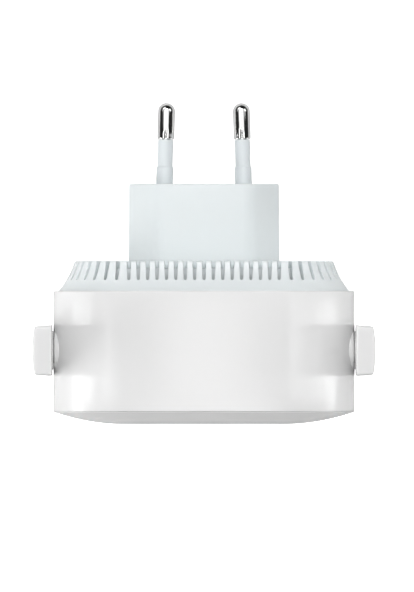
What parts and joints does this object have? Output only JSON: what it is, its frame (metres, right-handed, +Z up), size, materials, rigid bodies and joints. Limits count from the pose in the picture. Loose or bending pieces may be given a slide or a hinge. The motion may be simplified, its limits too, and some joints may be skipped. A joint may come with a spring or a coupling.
{
  "type": "wifi range extender",
  "caption": "Plug-in wifi range extender: rounded white housing, vented back cover with a two-pin mains plug, swinging blade antennas and a network socket.",
  "frame": {"origin": "middle of the plug's engagement face, between the two pins", "axes": "+Y into the wall along the plug, -Y out of the housing's front, +Z up, +X right seen from the front"},
  "size_m": [0.0798, 0.0754, 0.094],
  "materials": {
    "white_gloss_plastic": "satin white moulding",
    "cool_white_plastic": "satin cool white moulding",
    "pin_sleeve_plastic": "smooth insulating sleeve",
    "polished_nickel": "polished plating",
    "circuit_board": "solder mask over copper tracks",
    "supply_circuit_board": "tan laminate",
    "tinned_steel": "dull tin",
    "fastener_steel": "zinc plated",
    "spring_steel": "spring temper",
    "gold_contact": "gold flash",
    "chip_epoxy": "fine matt epoxy",
    "ferrite": "sintered grey black",
    "winding_tape": "yellow polyester tape",
    "capacitor_sleeve": "shrink sleeve, bare top",
    "ceramic_body": "dipped ceramic",
    "resistor_body": "cement coating",
    "black_plastic": "moulded",
    "light_pipe_clear": "clear moulding",
    "led_lens": "diffusing lens",
    "thermal_silicone": "soft pad",
    "washer_polymer": "slip polymer",
    "coax_jacket": "thin jacket",
    "lead_jacket": "insulated wire",
    "antenna_circuit": "printed strip"
  },
  "bodies": {
    "housing": {"front_cover": "white_gloss_plastic", "front_shell": "white_gloss_plastic", "back_cover": "cool_white_plastic", "plug_housing": "cool_white_plastic", "vent_baffle": "cool_white_plastic", "light_pipe": "light_pipe_clear", "status_led": "led_lens", "reset_switch": "tinned_steel", "main_board": "circuit_board", "shield_can": "tinned_steel", "wifi_chip": "chip_epoxy", "thermal_pad": "thermal_silicone", "memory_chips": "chip_epoxy", "chip_passives": "ceramic_body", "clock_crystal": "tinned_steel", "power_inductor": "ferrite", "network_magnetics": "chip_epoxy", "jack_shield": "tinned_steel", "jack_insert": "black_plastic", "jack_contacts": "gold_contact", "supply_board": "supply_circuit_board", "transformer_core": "ferrite", "transformer_winding": "winding_tape", "bulk_capacitors": "capacitor_sleeve", "output_capacitor": "capacitor_sleeve", "input_choke": "ferrite", "fusible_resistor": "resistor_body", "bridge_rectifier": "chip_epoxy", "safety_capacitor": "ceramic_body", "supply_chips": "chip_epoxy", "header_pins": "gold_contact", "header_base": "black_plastic", "main_board_screws": "fastener_steel", "supply_board_screws": "fastener_steel", "left_pin": "polished_nickel", "left_pin_sleeve": "pin_sleeve_plastic", "left_supply_lead": "lead_jacket", "left_friction_washer": "washer_polymer", "left_coax_lead": "coax_jacket", "left_coax_plug": "gold_contact", "right_pin": "polished_nickel", "right_pin_sleeve": "pin_sleeve_plastic", "right_supply_lead": "lead_jacket", "right_friction_washer": "washer_polymer", "right_coax_lead": "coax_jacket", "right_coax_plug": "gold_contact"},
    "left_antenna": {"left_antenna_shell": "white_gloss_plastic", "left_antenna_cover": "white_gloss_plastic", "left_antenna_element": "antenna_circuit", "left_antenna_pigtail": "coax_jacket", "left_retaining_clip": "spring_steel"},
    "right_antenna": {"right_antenna_shell": "white_gloss_plastic", "right_antenna_cover": "white_gloss_plastic", "right_antenna_element": "antenna_circuit", "right_antenna_pigtail": "coax_jacket", "right_retaining_clip": "spring_steel"},
    "reset_key": {"reset_button": "black_plastic", "reset_plunger": "black_plastic"}
  },
  "joints": [
    {"name": "left_antenna_pivot", "type": "hinge", "parent": "housing", "child": "left_antenna", "pos_m": [-0.03548, -0.0391, 0.024], "axis": [1, 0, 0], "range_deg": [0, 180]},
    {"name": "right_antenna_pivot", "type": "hinge", "parent": "housing", "child": "right_antenna", "pos_m": [0.03548, -0.0391, 0.024], "axis": [1, 0, 0], "range_deg": [0, 180]},
    {"name": "reset_press", "type": "slide", "parent": "housing", "child": "reset_key", "axis": [0, 0, 1], "range_m": [0, 0.0004], "stiffness_N_per_m": 500, "springref_m": -0.001}
  ]
}
